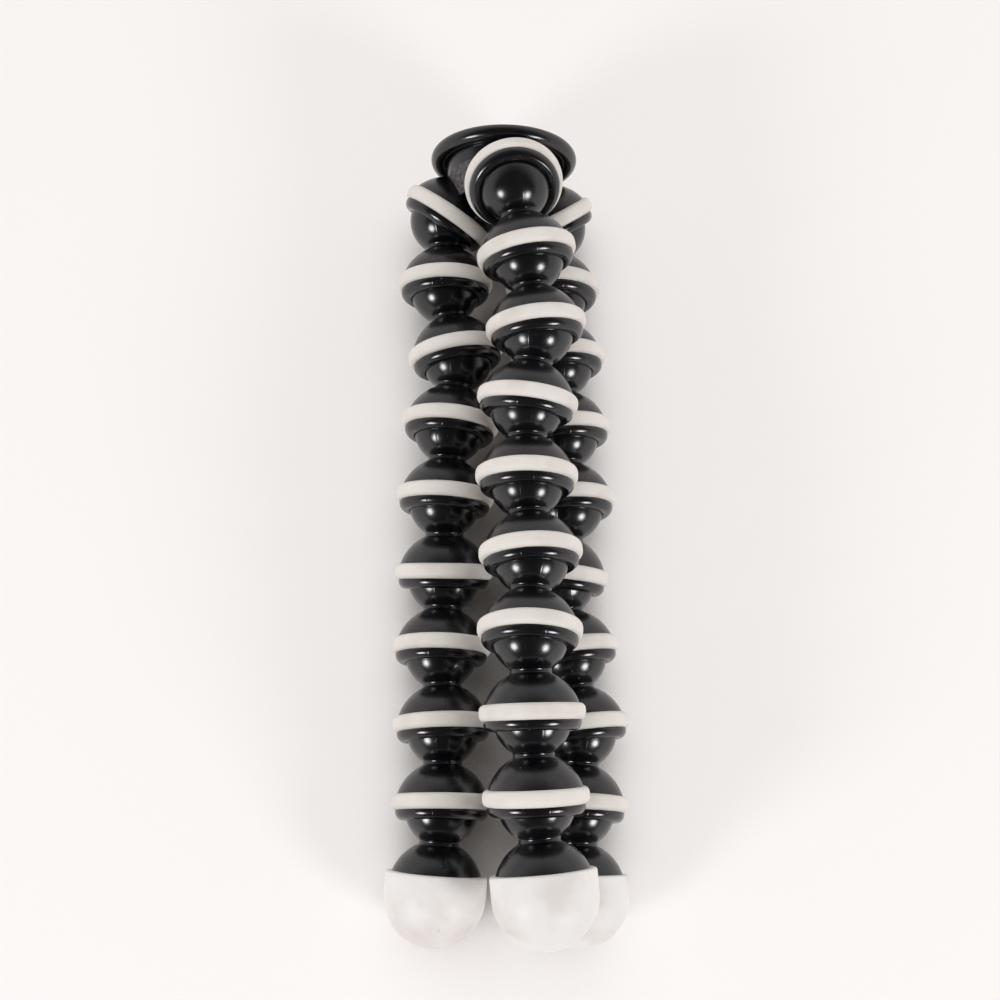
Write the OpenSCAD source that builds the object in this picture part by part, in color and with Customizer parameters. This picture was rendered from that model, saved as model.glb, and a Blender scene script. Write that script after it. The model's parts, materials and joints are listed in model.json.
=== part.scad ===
// Flexible leg tripod, lying folded on a table.
// Millimetres. Z is up from the table, the camera plate faces +Y, the feet point to -Y.

/* [Ball joints] */
// Diameter of the ball at the head end of every link
ball_d = 22; // [20:0.5:24]
// Gap between a ball and the cup that grips it
joint_clear = 0.06; // [0.04:0.01:0.12]
// Wall of a cup around its ball
cup_wall = 2.9; // [2.6:0.1:3.4]
// Diameter of the waist between ball and cup
waist_d = 11.7; // [10.4:0.1:12]
// Radius of the hollow that forms the waist
waist_round = 1; // [0.8:0.1:1.2]

/* [Cup mouth] */
// How far the mouth reaches past the ball's centre
mouth_reach = 3.3; // [2.8:0.1:3.6]
// How far the lip stays inside the cup's outer radius
lip_inset = 0.16; // [0.1:0.02:0.4]
// Radius of the rounding on the lip
lip_round = 2.6; // [2.5:0.05:2.8]
// Middle of the lip's rounding, past the ball's centre
lip_mid = 0.9; // [0.8:0.05:1.1]

/* [Grip rings] */
// How far a grip ring stands out past its cup
ring_proud = 1.04; // [0.8:0.02:1.4]
// Radial thickness of a grip ring
ring_t = 2.4; // [2.2:0.1:2.8]
// Width of a grip ring along the leg
ring_w = 4.8; // [4.4:0.1:5.2]
// Middle of the ring behind the ball's centre
ring_back = 1.9; // [1.7:0.1:2.2]
// Radius of the crown on the ring's outer face
ring_crown = 7; // [6:0.5:12]
// Rounding of the ring's outer edges
ring_edge = 1.6; // [1:0.1:1.8]
// Gap between a rubber piece and its seat
seat_clear = 0.05; // [0.03:0.01:0.1]

/* [Feet] */
// Foot cap's top edge from the foot's ball centre
cap_start = 18.5; // [17.5:0.5:19.5]
// Straight part of the foot cap
cap_straight = 6.5; // [5:0.5:9]
// Diameter of the foot cap
cap_d = 30; // [29:0.5:32]
// Wall of the foot cap
cap_wall = 2.6; // [2:0.1:3]
// Rounding of the foot cap's top edge
cap_edge = 0.9; // [0.5:0.1:1.2]

/* [Hub] */
// Distance from the hub's axis to each leg's first ball
hub_reach = 20; // [19.5:0.5:22]
// Angle between a hub cup and the hub's axis
hub_splay = 36; // [32:1:37]
// Turn of the hub about its axis as it lies
hub_roll = -8; // [-12:1:0]
// Radius of the core that joins the three cups
core_r = 10; // [9.5:0.1:11]
// How far the core reaches below the balls' centres
core_low = 3.5; // [3:0.1:4]
// How far the core reaches above the balls' centres
core_high = 3; // [2.5:0.1:4]
// Radius of the neck's spigot in the core
spigot_r = 5.6; // [5:0.1:6]
// Length of the spigot in the core
spigot_len = 3.5; // [3:0.1:4]

/* [Neck and camera plate] */
// Radius of the neck where it sits on the hub
neck_low_r = 14.8; // [14:0.1:15.4]
// Radius of the neck where it meets the plate
neck_top_r = 18.5; // [17:0.5:19]
// Height of the neck from the core to the plate's dish
neck_h = 13; // [11:0.5:16]
// Diameter of the camera plate
plate_d = 46; // [44:0.5:52]
// Radius of the plate's rounded rim
rim_round = 2.5; // [2.2:0.1:2.8]
// Thickness of the plate between the dish and the pad
plate_t = 3.4; // [3:0.1:4]
// How far the rim stands below the dish
dish_deep = 1; // [0.8:0.1:1.4]
// Diameter of the rubber pad on the plate
pad_d = 40; // [38:0.5:42]
// Thickness of the rubber pad
pad_t = 1.6; // [1.4:0.1:2]
// How far the pad sinks into the plate
pad_sink = 0.8; // [0.6:0.1:1]
// Groove pitch of the pad's ribs
rib_pitch = 3.2; // [2.8:0.1:4]
// Depth of the grooves between the pad's ribs
rib_deep = 0.5; // [0.3:0.1:0.6]

/* [Screws] */
// Camera screw's thread diameter, a quarter of an inch
stud_d = 6.35; // [6.35:0.01:6.35]
// Camera screw's length above the pad
stud_len = 5.5; // [4.5:0.1:6]
// Camera screw's plain shank inside the plate
shank_d = 5.6; // [5:0.1:6]
// Chamfer on the camera screw's end
stud_chamfer = 0.6; // [0.4:0.1:0.8]
// Width across the flats of the camera screw's head
stud_flats = 11; // [10:0.5:11.5]
// Height of the camera screw's head
stud_head_h = 3; // [2.5:0.1:3.5]
// Plastic between the camera screw's head and the pad
head_skin = 1; // [0.8:0.1:1.4]
// Gap around the screws
screw_clear = 0.1; // [0.05:0.01:0.2]
// Diameter of the hub screw
hub_screw_d = 4; // [3.5:0.1:4.5]
// Length of the hub screw
hub_screw_len = 12; // [11:0.5:13]
// Diameter of the hub screw's countersunk head
hub_head_d = 7.4; // [7:0.1:8]
// How deep the hub screw's head sits in the core
hub_head_sink = 0.2; // [0.1:0.1:0.5]

/* [Leg pose] */
// Sideways heading of the front leg's pieces in degrees, hub to foot
front_turn = [10, 7, -7, 0, 3, -1, 2, 3, 6]; // each -10 to 10
// Rise of the front leg's pieces in degrees, hub to foot
front_rise = [-1, -1, -3, 2, 5, 8, -4, -6, -4]; // each -10 to 10
// Sideways heading of the left leg's pieces in degrees, hub to foot
left_turn = [1, 10, -5, -3, 0, -1, 2, 0, -4]; // each -10 to 10
// Rise of the left leg's pieces in degrees, hub to foot
left_rise = [-1, 0, 1, -2, -9, 1, 1, 0, -4]; // each -10 to 10
// Sideways heading of the right leg's pieces in degrees, hub to foot
right_turn = [1, 4, 4, 3, -6, 8, 7, -2, 0]; // each -10 to 10
// Rise of the right leg's pieces in degrees, hub to foot
right_rise = [3, 0, -1, 2, -5, 0, 0, 1, -2]; // each -10 to 10

/* [Colours] */
// Black plastic
black = "#1b1a1b";
// Light rubber of the grip rings
grip_grey = "#d8d5d0";
// Pale rubber of the feet
cap_white = "#e9e7e6";
// Dark rubber of the pad
pad_black = "#2a2a2b";
// Steel of the screws
steel = "#a9abad";

/* [Hidden] */
$fa = 4;
$fs = 0.4;
links = 8;
leg_names = ["front", "left", "right"];
leg_angles = [90, 210, 330];
turns = [front_turn, left_turn, right_turn];
rises = [front_rise, left_rise, right_rise];

ball_r = ball_d / 2;
cavity_r = ball_r + joint_clear;
cup_r = cavity_r + cup_wall;
waist_r = waist_d / 2;
// The waist's hollow touches the ball and the cup
hollow_x = waist_r + waist_round;
hollow_y = sqrt(pow(ball_r + waist_round, 2) - pow(hollow_x, 2));
link_pitch = hollow_y + sqrt(pow(cup_r + waist_round, 2) - pow(hollow_x, 2));

ring_r = cup_r + ring_proud;
groove_r = ring_r - ring_t;
ring_low = ring_back - ring_w / 2;
ring_high = ring_back + ring_w / 2;
ring_bore = groove_r + seat_clear;
ring_half = ring_w / 2 - seat_clear;
// The rounded edges touch the ring's sides and its crown
crown_x = ring_r - ring_crown;
edge_y = ring_half - ring_edge;
edge_x = crown_x + sqrt(pow(ring_crown - ring_edge, 2) - pow(edge_y, 2));
crown_half = edge_y * ring_crown / (ring_crown - ring_edge);
lip_r = cup_r - lip_inset;

cap_r = cap_d / 2;
plug_r = cap_r - cap_wall;
cap_mid = cap_start + cap_straight;
cap_low = cap_start + seat_clear;
// Past every drawing that is turned about its axis
drawing = link_pitch + cap_mid + cap_r;

dish_y = core_high + neck_h;
plate_top = dish_y + plate_t;
pad_top = plate_top - pad_sink + pad_t;
rim_x = plate_d / 2 - rim_round;
rim_y = dish_y - dish_deep + rim_round;
stud_tip = pad_top + stud_len;
stud_r = stud_d / 2;
shank_r = shank_d / 2;
head_r = stud_flats / 2 / cos(30);
// The camera screw's head is moulded into the plate, a skin below the pad
head_low = plate_top - pad_sink - head_skin - stud_head_h;
hub_screw_r = hub_screw_d / 2;
hub_head_r = hub_head_d / 2;
hub_head_low = hub_head_sink - core_low;

// Unit vector with a sideways heading and a rise, from straight along -Y
function along(turn, rise) = [sin(turn) * cos(rise), -cos(turn) * cos(rise), sin(rise)];
function outward(leg) = [cos(leg_angles[leg] + hub_roll), 0, sin(leg_angles[leg] + hub_roll)];
function cup_dir(leg) = sin(hub_splay) * outward(leg) + [0, -cos(hub_splay), 0];
function link_dir(leg, i) = along(turns[leg][i], rises[leg][i]);
// Ball centres measured from the hub's centre
function ball_at(leg, i) =
    i == 0 ? hub_reach * outward(leg) : ball_at(leg, i - 1) + link_pitch * link_dir(leg, i - 1);

// How far a ring or a cap reaches along an axis that its own axis meets with sine s
function ring_span(s) =
    s * ring_crown < crown_half ? crown_x * sqrt(1 - s * s) + ring_crown
                                : edge_x * sqrt(1 - s * s) + edge_y * s + ring_edge;
function ring_mid(leg, i) =
    i == 0 ? ball_at(leg, 0) - ring_back * cup_dir(leg)
           : ball_at(leg, i) - ring_back * link_dir(leg, i - 1);
function ring_axis(leg, i) = i == 0 ? cup_dir(leg) : link_dir(leg, i - 1);
function cap_end(leg) = ball_at(leg, links) + cap_mid * link_dir(leg, links);
function lows(k) = concat(
    [for (leg = [0:2], i = [0:links]) ring_mid(leg, i)[k] - ring_span(abs(ring_axis(leg, i)[k]))],
    [for (leg = [0:2]) cap_end(leg)[k] - cap_r]);
function highs(k) = concat(
    [for (leg = [0:2], i = [0:links]) ring_mid(leg, i)[k] + ring_span(abs(ring_axis(leg, i)[k]))],
    [for (leg = [0:2]) cap_end(leg)[k] + cap_r]);

// The table is under the lowest ring and the origin under the middle of the whole part
hub_at = [
    -(min(lows(0)) + max(highs(0))) / 2,
    -(min(lows(1)) + stud_tip) / 2,
    -min(lows(2))
];

echo(link_pitch = link_pitch, length = stud_tip - min(lows(1)), hub_at = hub_at);

// Puts children at a point with their Z axis along a direction
module aim(point, direction) {
    translate(point)
        rotate([90 - asin(direction[2]), 0, atan2(direction[0], -direction[1])])
            children();
}

// Puts children on the hub's axis, Z towards the plate
module on_hub() {
    translate(hub_at)
        rotate([-90, 0, 0])
            children();
}

module at_ball(leg, i) {
    aim(hub_at + ball_at(leg, i), link_dir(leg, i))
        children();
}

module at_hub_cup(leg) {
    aim(hub_at + ball_at(leg, 0), cup_dir(leg))
        children();
}

// Right half of a plane drawing, so that it can be turned about Y
module half_plane() {
    intersection() {
        children();
        translate([0, -drawing])
            square([drawing, 2 * drawing]);
    }
}

// Ball and waist, the ball's centre at the origin
module ball_profile() {
    circle(r = ball_r);
    difference() {
        polygon([[0, 0], [hollow_x, hollow_y], [0, link_pitch]]);
        translate([hollow_x, hollow_y])
            circle(r = waist_round);
    }
}

// Outer dome of a cup behind its ring, the cup's centre at the origin
module dome_profile(edge) {
    intersection() {
        circle(r = cup_r);
        translate([0, -cup_r - 1])
            square([cup_r + 1, cup_r + 1 + edge]);
    }
}

// Sleeve under the ring and the rounded lip, the mouth towards +Y
module lip_profile() {
    translate([0, -ring_high - 1])
        square([groove_r, ring_w + 2]);
    intersection() {
        union() {
            translate([lip_r - lip_round, lip_mid])
                circle(r = lip_round);
            square([lip_r - lip_round, mouth_reach]);
        }
        translate([0, -ring_low])
            square([lip_r + 1, ring_low + mouth_reach]);
    }
}

module cup_profile() {
    dome_profile(-ring_high);
    lip_profile();
}

module link_body() {
    rotate_extrude()
        half_plane()
            difference() {
                union() {
                    ball_profile();
                    translate([0, link_pitch])
                        cup_profile();
                }
                translate([0, link_pitch])
                    circle(r = cavity_r);
            }
}

// Crowned rubber band with round edges, its cup's centre at the origin
module ring_body() {
    rotate_extrude()
        translate([0, -ring_back])
            intersection() {
                union() {
                    translate([0, -ring_half])
                        square([edge_x, 2 * ring_half]);
                    for (side = [-1, 1])
                        translate([edge_x, side * edge_y])
                            circle(r = ring_edge);
                    intersection() {
                        translate([crown_x, 0])
                            circle(r = ring_crown);
                        translate([0, -crown_half])
                            square([ring_r, 2 * crown_half]);
                    }
                }
                translate([ring_bore, -ring_half])
                    square([ring_t, 2 * ring_half]);
            }
}

// Ball, waist, shoulder and the plug inside the cap
module foot_body() {
    rotate_extrude()
        half_plane()
            union() {
                ball_profile();
                translate([0, link_pitch])
                    dome_profile(cap_start - link_pitch);
                translate([0, cap_start - 1])
                    square([plug_r, cap_straight + 1]);
                intersection() {
                    translate([0, cap_mid])
                        circle(r = plug_r);
                    translate([0, cap_mid - 1])
                        square([plug_r + 1, plug_r + 2]);
                }
            }
}

module cap_body() {
    rotate_extrude()
        half_plane()
            difference() {
                union() {
                    translate([0, cap_low])
                        square([cap_r - cap_edge, cap_mid - cap_low]);
                    translate([0, cap_low + cap_edge])
                        square([cap_r, cap_mid - cap_low - cap_edge]);
                    translate([cap_r - cap_edge, cap_low + cap_edge])
                        circle(r = cap_edge);
                    intersection() {
                        translate([0, cap_mid])
                            circle(r = cap_r);
                        translate([0, cap_mid - 1])
                            square([cap_r + 1, cap_r + 2]);
                    }
                }
                translate([0, cap_start - 1])
                    square([plug_r + seat_clear, cap_straight + 1]);
                translate([0, cap_mid])
                    circle(r = plug_r + seat_clear);
            }
}

module link(leg, i) {
    color(black)
        at_ball(leg, i)
            link_body();
}

module grip_ring(leg, i) {
    color(grip_grey)
        at_ball(leg, i)
            translate([0, 0, link_pitch])
                ring_body();
}

module foot(leg) {
    color(black)
        at_ball(leg, links)
            foot_body();
}

module foot_cap(leg) {
    color(cap_white)
        at_ball(leg, links)
            cap_body();
}

// Three cups on a core, the neck's spigot and its screw from below
module hub() {
    color(black)
        difference() {
            union() {
                for (leg = [0:2])
                    at_hub_cup(leg)
                        rotate_extrude()
                            half_plane()
                                cup_profile();
                on_hub()
                    translate([0, 0, -core_low])
                        cylinder(r = core_r, h = core_low + core_high);
            }
            for (leg = [0:2])
                at_hub_cup(leg) {
                    sphere(r = cavity_r);
                    rotate_extrude()
                        translate([groove_r, -ring_high])
                            square([ring_t + 2, ring_w]);
                }
            on_hub() {
                translate([0, 0, core_high - spigot_len - seat_clear])
                    cylinder(r = spigot_r + seat_clear, h = spigot_len + 2);
                hub_screw_hole();
            }
        }
}

// Shank, countersink and the sink below its head
module hub_screw_hole() {
    translate([0, 0, hub_head_low]) {
        cylinder(r = hub_screw_r + screw_clear, h = hub_screw_len + screw_clear);
        cylinder(r1 = hub_head_r + screw_clear, r2 = hub_screw_r + screw_clear,
                 h = hub_head_r - hub_screw_r);
        translate([0, 0, -hub_head_sink - 1])
            cylinder(r = hub_head_r + screw_clear, h = hub_head_sink + 1);
    }
}

module hub_rings() {
    color(grip_grey)
        for (leg = [0:2])
            at_hub_cup(leg)
                ring_body();
}

// Plate with a rounded rim, dished below, on a conical neck that sits between the cups
module camera_plate() {
    color(black)
        difference() {
            on_hub() {
                translate([0, 0, core_high - spigot_len])
                    cylinder(r = spigot_r, h = spigot_len + 1);
                translate([0, 0, core_high])
                    cylinder(r1 = neck_low_r, r2 = neck_top_r, h = neck_h);
                translate([0, 0, dish_y - 0.5])
                    cylinder(r = neck_top_r, h = plate_t + 0.5);
                rotate_extrude()
                    intersection() {
                        union() {
                            translate([rim_x, rim_y])
                                circle(r = rim_round);
                            translate([0, dish_y])
                                square([rim_x, plate_t]);
                        }
                        square([plate_d, plate_top]);
                    }
            }
            for (leg = [0:2])
                at_hub_cup(leg)
                    sphere(r = cup_r + seat_clear);
            on_hub() {
                translate([0, 0, plate_top - pad_sink])
                    cylinder(r = pad_d / 2 + seat_clear, h = pad_sink + 1);
                translate([0, 0, head_low])
                    cylinder(r = shank_r + screw_clear, h = plate_top);
                translate([0, 0, head_low - screw_clear])
                    cylinder(r = head_r + screw_clear, h = stud_head_h + 2 * screw_clear, $fn = 6);
                translate([0, 0, hub_head_low])
                    cylinder(r = hub_screw_r + seat_clear, h = hub_screw_len + screw_clear);
            }
        }
}

// Rubber pad with straight grip ribs around the camera screw
module plate_pad() {
    color(pad_black)
        on_hub()
            difference() {
                translate([0, 0, plate_top - pad_sink + seat_clear])
                    cylinder(r = pad_d / 2, h = pad_t - seat_clear);
                translate([0, 0, plate_top - pad_sink - 1])
                    cylinder(r = shank_r + screw_clear, h = pad_t + 2);
                for (x = [-rib_pitch * 5.5:rib_pitch:rib_pitch * 5.6])
                    translate([x - rib_pitch / 6, -pad_d / 2 - 1, pad_top - rib_deep])
                        cube([rib_pitch / 3, pad_d + 2, rib_deep + 1]);
            }
}

module camera_screw() {
    color(steel)
        on_hub() {
            translate([0, 0, head_low])
                cylinder(r = head_r, h = stud_head_h, $fn = 6);
            translate([0, 0, head_low])
                cylinder(r = shank_r, h = pad_top - head_low);
            translate([0, 0, pad_top])
                cylinder(r = stud_r, h = stud_len - stud_chamfer);
            translate([0, 0, stud_tip - stud_chamfer])
                cylinder(r1 = stud_r, r2 = stud_r - stud_chamfer, h = stud_chamfer);
        }
}

module hub_screw() {
    color(steel)
        on_hub()
            translate([0, 0, hub_head_low]) {
                cylinder(r = hub_screw_r, h = hub_screw_len);
                cylinder(r1 = hub_head_r, r2 = hub_screw_r, h = hub_head_r - hub_screw_r);
            }
}

hub();
hub_rings();
camera_plate();
plate_pad();
camera_screw();
hub_screw();
for (leg = [0:2]) {
    for (i = [0:links - 1]) {
        link(leg, i);
        grip_ring(leg, i);
    }
    foot(leg);
    foot_cap(leg);
}
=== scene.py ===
import json
import math

import bmesh
import bpy
from mathutils import Matrix, Vector


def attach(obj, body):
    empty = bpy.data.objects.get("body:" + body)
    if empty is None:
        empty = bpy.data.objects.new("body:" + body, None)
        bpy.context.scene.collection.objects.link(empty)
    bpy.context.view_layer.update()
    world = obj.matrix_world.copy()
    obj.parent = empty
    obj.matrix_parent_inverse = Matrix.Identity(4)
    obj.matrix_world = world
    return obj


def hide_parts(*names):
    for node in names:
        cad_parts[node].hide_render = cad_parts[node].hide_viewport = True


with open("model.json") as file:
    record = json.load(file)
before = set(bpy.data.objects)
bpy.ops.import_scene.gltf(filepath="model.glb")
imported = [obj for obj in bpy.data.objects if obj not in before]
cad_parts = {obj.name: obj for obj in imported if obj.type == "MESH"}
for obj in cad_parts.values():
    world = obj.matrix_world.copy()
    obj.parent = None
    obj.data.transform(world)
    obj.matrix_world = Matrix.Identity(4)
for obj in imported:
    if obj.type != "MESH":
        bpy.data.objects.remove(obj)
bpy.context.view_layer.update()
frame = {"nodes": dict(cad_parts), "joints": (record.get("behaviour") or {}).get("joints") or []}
scene = bpy.context.scene
scene.view_settings.view_transform = "Standard"


class Wire:  # a socket of a node tree; sums on it add their Math nodes

    def __init__(self, tree, socket=None):
        self.tree = tree
        self.socket = socket

    def add(self, kind, settings=None, values=None, out=0):
        node = self.tree.nodes.new(kind)
        for name, value in (settings or {}).items():
            setattr(node, name, value)
        for key, value in (values or {}).items():
            for one in value if isinstance(value, list) else [value]:
                if isinstance(one, Wire):
                    self.tree.links.new(one.socket, node.inputs[key])
                else:
                    node.inputs[key].default_value = one
        return Wire(self.tree, node.outputs[out]) if node.outputs else None

    def other(self, out):  # another output of the same node
        return Wire(self.tree, self.socket.node.outputs[out])

    def maths(self, operation, *values):
        return self.add("ShaderNodeMath", {"operation": operation}, dict(enumerate(values)))

    def __add__(self, value):
        return self.maths("ADD", self, value)

    def __radd__(self, value):
        return self.maths("ADD", value, self)

    def __sub__(self, value):
        return self.maths("SUBTRACT", self, value)

    def __rsub__(self, value):
        return self.maths("SUBTRACT", value, self)

    def __mul__(self, value):
        return self.maths("MULTIPLY", self, value)

    def __rmul__(self, value):
        return self.maths("MULTIPLY", value, self)

    def __truediv__(self, value):
        return self.maths("DIVIDE", self, value)

    def __pow__(self, value):
        return self.maths("POWER", self, value)

    def __neg__(self):
        return self.maths("MULTIPLY", self, -1.0)

    def sin(self):
        return self.maths("SINE", self)

    def cos(self):
        return self.maths("COSINE", self)

    def arcsin(self):
        return self.maths("ARCSINE", self)

    def angleOver(self, run):
        return self.maths("ARCTAN2", self, run)

    def least(self, value):
        return self.maths("MINIMUM", self, value)

    def most(self, value):
        return self.maths("MAXIMUM", self, value)

    def step(self, low, high):  # 0 below low, 1 above high, eased between
        return self.add("ShaderNodeMapRange", {"interpolation_type": "SMOOTHSTEP"},
                        {"Value": self, "From Min": low, "From Max": high})

    def blend(self, first, second):  # two colours, mixed by this value
        return self.add("ShaderNodeMix", {"data_type": "RGBA"}, {0: self, 6: first, 7: second}, 2)


# Shape trees. Sizes are in millimetres and angles in radians

socketKinds = {float: "NodeSocketFloat", int: "NodeSocketInt", tuple: "NodeSocketVector",
               type(None): "NodeSocketMaterial"}
placing = {"Place": (0.0, 0.0, 0.0), "Turn": (0.0, 0.0, 0.0), "Material": None}
millimetre = 0.001
fullTurn = 2 * math.pi
halfTurn = math.pi
quarterTurn = math.pi / 2
seam = {"crowd": 0.93, "halfWidth": 0.13, "fade": 30}  # more points near the two mould lines
finishes = {"dome": 1.0, "neck": 2.0, "edge": -1.0}  # stored on the mesh as satin, for the plastic
weld = {"turned": 0.0008, "pad": 0.002}  # points nearer than this become one
gap = {"joint": 0.06, "seat": 0.05, "screw": 0.1}  # between pieces that fit together


def newTree(name, sizes):
    tree = bpy.data.node_groups.new(name, "GeometryNodeTree")
    for label, value in sizes.items():
        socket = tree.interface.new_socket(label, in_out="INPUT", socket_type=socketKinds[type(value)])
        if value is not None:
            socket.default_value = value
    tree.interface.new_socket("Geometry", in_out="OUTPUT", socket_type="NodeSocketGeometry")
    start = tree.nodes.new("NodeGroupInput")
    return tree, Wire(tree), {label: Wire(tree, start.outputs[label]) for label in sizes}


def closeTree(root, shape, size=None):  # set in place, in metres, with its material
    if size:
        turn = root.add("FunctionNodeEulerToRotation", None, {"Euler": size["Turn"]})
        shape = root.add("GeometryNodeTransform", None, {
            "Geometry": shape, "Translation": size["Place"], "Rotation": turn,
            "Scale": (millimetre, millimetre, millimetre)})
        shape = root.add("GeometryNodeRealizeInstances", None, {"Geometry": shape})
        shape = root.add("GeometryNodeSetMaterial", None, {
            "Geometry": shape, "Material": size["Material"]})
    root.add("NodeGroupOutput", None, {"Geometry": shape})


def sweepGrid(root, size):  # along the outline and round the axis, both from 0 to 1
    grid = root.add("GeometryNodeMeshGrid", None, {
        "Size X": 1.0, "Size Y": 1.0, "Vertices X": size["Steps"] + 1, "Vertices Y": size["Segments"] + 1})
    spot = root.add("ShaderNodeSeparateXYZ", None, {"Vector": root.add("GeometryNodeInputPosition")})
    along = spot + 0.5
    around = spot.other("Y") + 0.5
    bothLines = 2 * fullTurn
    crowded = around - seam["crowd"] / bothLines * (around * bothLines).sin()
    return grid, along, crowded * fullTurn


def swept(root, size, grid, radius, height, turn):
    spot = root.add("ShaderNodeCombineXYZ", None, {
        "X": radius * turn.cos(), "Y": radius * turn.sin(), "Z": height})
    shape = root.add("GeometryNodeSetPosition", None, {"Geometry": grid, "Position": spot})
    return root.add("GeometryNodeStoreNamedAttribute", {"data_type": "FLOAT", "domain": "POINT"}, {
        "Geometry": shape, "Name": "satin", "Value": size["Satin"]})


def makeArcTree():
    tree, root, size = newTree("turnedArc", {
        "Centre R": 0.0, "Centre W": 0.0, "Radius": 1.0, "Start": 0.0, "End": 1.0,
        "Steps": 8, "Segments": 96, "Seam": 0.0, "Satin": 0.0})
    grid, along, turn = sweepGrid(root, size)
    angle = size["Start"] + (size["End"] - size["Start"]) * along
    fromSeam = (size["Centre R"] + size["Radius"] * angle.cos()) * turn.sin() / seam["halfWidth"]
    fade = (along * (1 - along) * seam["fade"]).least(1.0)
    ridge = size["Seam"] * fade * root.maths("EXPONENT", -(fromSeam * fromSeam))
    reach = size["Radius"] + ridge
    radius = size["Centre R"] + reach * angle.cos()
    height = size["Centre W"] + reach * angle.sin()
    closeTree(root, swept(root, size, grid, radius, height, turn))
    return tree


def makeLineTree():
    tree, root, size = newTree("turnedLine", {
        "Start R": 0.0, "Start W": 0.0, "End R": 1.0, "End W": 0.0,
        "Steps": 1, "Segments": 96, "Satin": 0.0})
    grid, along, turn = sweepGrid(root, size)
    radius = size["Start R"] + (size["End R"] - size["Start R"]) * along
    height = size["Start W"] + (size["End W"] - size["Start W"]) * along
    closeTree(root, swept(root, size, grid, radius, height, turn))
    return tree


arcTree = makeArcTree()
lineTree = makeLineTree()


class Outline:  # strips of one turned piece, in order along its outline

    def __init__(self, root, size):
        self.root = root
        self.size = size
        self.strips = []

    def arc(self, centre, radius, start, end, steps, ridge=0.0, satin=0.0):
        self.strips.append(self.root.add("GeometryNodeGroup", {"node_tree": arcTree}, {
            "Centre R": centre[0], "Centre W": centre[1], "Radius": radius, "Start": start, "End": end,
            "Steps": steps, "Segments": self.size["Segments"], "Seam": ridge, "Satin": satin}))

    def line(self, first, second, steps=1, satin=0.0):
        self.strips.append(self.root.add("GeometryNodeGroup", {"node_tree": lineTree}, {
            "Start R": first[0], "Start W": first[1], "End R": second[0], "End W": second[1],
            "Steps": steps, "Segments": self.size["Segments"], "Satin": satin}))

    def solid(self):
        shape = self.root.add("GeometryNodeJoinGeometry", None, {"Geometry": self.strips})
        shape = self.root.add("GeometryNodeMergeByDistance", None, {
            "Geometry": shape, "Distance": weld["turned"]})
        return self.root.add("GeometryNodeSetShadeSmooth", None, {"Geometry": shape})


def unevenness(root, shape, size):  # slow waves of a soft moulding
    wave = root.add("ShaderNodeTexNoise", {"noise_dimensions": "4D"}, {
        "W": size["Seed"], "Scale": size["Wave Scale"], "Detail": 1.0})
    normal = root.add("GeometryNodeInputNormal")
    offset = root.add("ShaderNodeVectorMath", {"operation": "SCALE"}, {
        0: normal, "Scale": (wave - 0.5) * size["Unevenness"]})
    return root.add("GeometryNodeSetPosition", None, {"Geometry": shape, "Offset": offset})


# Links and cups

ballSizes = {
    "Ball Radius": 11.0, "Waist Radius": 5.85, "Waist Round": 1.0, "Cup Radius": 13.96,
    "Ball Seam": 0.025, "Seam Height": 0.038, "Segments": 128}
cupSizes = {
    "Cup Radius": ballSizes["Cup Radius"], "Cavity Radius": ballSizes["Ball Radius"] + gap["joint"],
    "Groove Radius": 12.6, "Ring Top": 4.3, "Ring Low": 0.5,
    "Lip Radius": 13.8, "Lip Round": 2.6, "Lip Middle": 0.9,
    "Mouth Reach": 3.3, "Mouth Round": 1.0, "Edge Round": 0.3,
    "Seam Height": ballSizes["Seam Height"], "Segments": ballSizes["Segments"]}


def ballAndWaist(shape, size):  # ends where the cup's dome begins
    ball = size["Ball Radius"]
    waistRound = size["Waist Round"]
    hollowR = size["Waist Radius"] + waistRound
    hollowW = ((ball + waistRound) ** 2 - hollowR ** 2) ** 0.5
    pitch = hollowW + ((size["Cup Radius"] + waistRound) ** 2 - hollowR ** 2) ** 0.5
    ballEnd = hollowW.angleOver(hollowR)
    domeStart = (hollowW - pitch).angleOver(hollowR)
    shape.arc((0.0, 0.0), ball, -quarterTurn, ballEnd, 44, ridge=size["Ball Seam"])
    shape.arc((hollowR, hollowW), waistRound, ballEnd + halfTurn, domeStart + halfTurn, 12)
    return pitch, domeStart


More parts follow.
